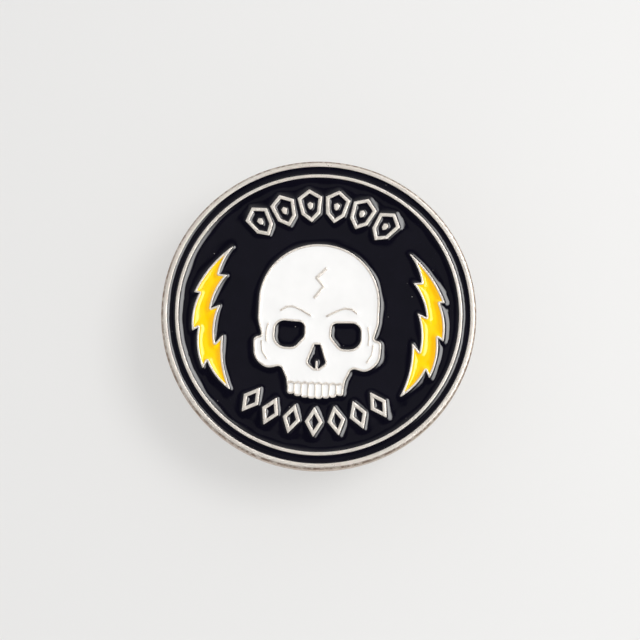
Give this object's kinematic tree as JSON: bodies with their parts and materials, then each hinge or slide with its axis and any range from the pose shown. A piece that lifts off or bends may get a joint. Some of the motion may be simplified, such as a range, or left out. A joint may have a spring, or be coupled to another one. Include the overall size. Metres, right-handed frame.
{
  "type": "enamel pin",
  "caption": "Round soft-enamel lapel pin with raised metal lines, recessed enamel, and posts held by sprung butterfly clutches.",
  "frame": {"origin": "centre of the flat back face of the struck disc", "axes": "+Z is the top of the artwork, +Y points out of the back along the posts, the front faces -Y, and +X is to the right seen from the front"},
  "size_m": [0.03, 0.0099, 0.03],
  "materials": {
    "nickel_plate": "bright nickel plating on a struck iron disc, softly worn and pitted",
    "black_enamel": "glossy baked soft enamel that dips between the raised lines",
    "white_enamel": "glossy baked soft enamel that dips between the raised lines",
    "yellow_enamel": "glossy baked soft enamel that dips between the raised lines",
    "post_steel": "nickel-plated steel wire, bright",
    "solder": "dull tin solder",
    "clutch_brass": "bright pressed brass with fine rolling lines",
    "spring_steel": "bright spring wire"
  },
  "bodies": {
    "badge": {"struck_base": "nickel_plate", "enamel_outer_band": "black_enamel", "enamel_field": "black_enamel", "enamel_skull": "white_enamel", "enamel_eye_left": "black_enamel", "enamel_eye_right": "black_enamel", "enamel_nose": "black_enamel", "enamel_bolt_left": "yellow_enamel", "enamel_bolt_right": "yellow_enamel", "enamel_top_ornaments": "black_enamel", "enamel_bottom_ornaments": "black_enamel", "post_left": "post_steel", "post_right": "post_steel", "solder_left": "solder", "solder_right": "solder"},
    "spring_left": {"grip_spring_left": "spring_steel"},
    "clutch_left": {"clutch_plate_left": "clutch_brass", "clutch_cap_left": "clutch_brass"},
    "wing_upper_left": {"clutch_wing_upper_left": "clutch_brass"},
    "wing_lower_left": {"clutch_wing_lower_left": "clutch_brass"},
    "spring_right": {"grip_spring_right": "spring_steel"},
    "clutch_right": {"clutch_plate_right": "clutch_brass", "clutch_cap_right": "clutch_brass"},
    "wing_upper_right": {"clutch_wing_upper_right": "clutch_brass"},
    "wing_lower_right": {"clutch_wing_lower_right": "clutch_brass"}
  },
  "joints": [
    {"name": "clutch_slide_left", "type": "slide", "parent": "badge", "child": "spring_left", "axis": [0, 1, 0], "range_m": [-0.0018, 0.0062]},
    {"name": "clutch_spin_left", "type": "hinge", "parent": "spring_left", "child": "clutch_left", "pos_m": [-0.0065, 0.0052, 0.0015], "axis": [0, 1, 0], "continuous": true},
    {"name": "wing_squeeze_left", "type": "hinge", "parent": "clutch_left", "child": "wing_upper_left", "pos_m": [-0.0065, 0.00485, 0.00455], "axis": [-1, 0, 0], "range_deg": [0, 8], "stiffness_Nm_per_rad": 0.0001},
    {"name": "wing_lower_squeeze_left", "type": "hinge", "parent": "clutch_left", "child": "wing_lower_left", "pos_m": [-0.0065, 0.00485, -0.00155], "axis": [1, 0, 0], "range_deg": [0, 8], "stiffness_Nm_per_rad": 0.0001},
    {"name": "clutch_slide_right", "type": "slide", "parent": "badge", "child": "spring_right", "axis": [0, 1, 0], "range_m": [-0.0018, 0.0062]},
    {"name": "clutch_spin_right", "type": "hinge", "parent": "spring_right", "child": "clutch_right", "pos_m": [0.0065, 0.0052, 0.0015], "axis": [0, 1, 0], "continuous": true},
    {"name": "wing_squeeze_right", "type": "hinge", "parent": "clutch_right", "child": "wing_upper_right", "pos_m": [0.0065, 0.00485, 0.00455], "axis": [-1, 0, 0], "range_deg": [0, 8], "stiffness_Nm_per_rad": 0.0001},
    {"name": "wing_lower_squeeze_right", "type": "hinge", "parent": "clutch_right", "child": "wing_lower_right", "pos_m": [0.0065, 0.00485, -0.00155], "axis": [1, 0, 0], "range_deg": [0, 8], "stiffness_Nm_per_rad": 0.0001}
  ],
  "couplings": [
    {"joint": "wing_lower_squeeze_left", "follows": "wing_squeeze_left", "ratio": 1},
    {"joint": "wing_lower_squeeze_right", "follows": "wing_squeeze_right", "ratio": 1}
  ]
}
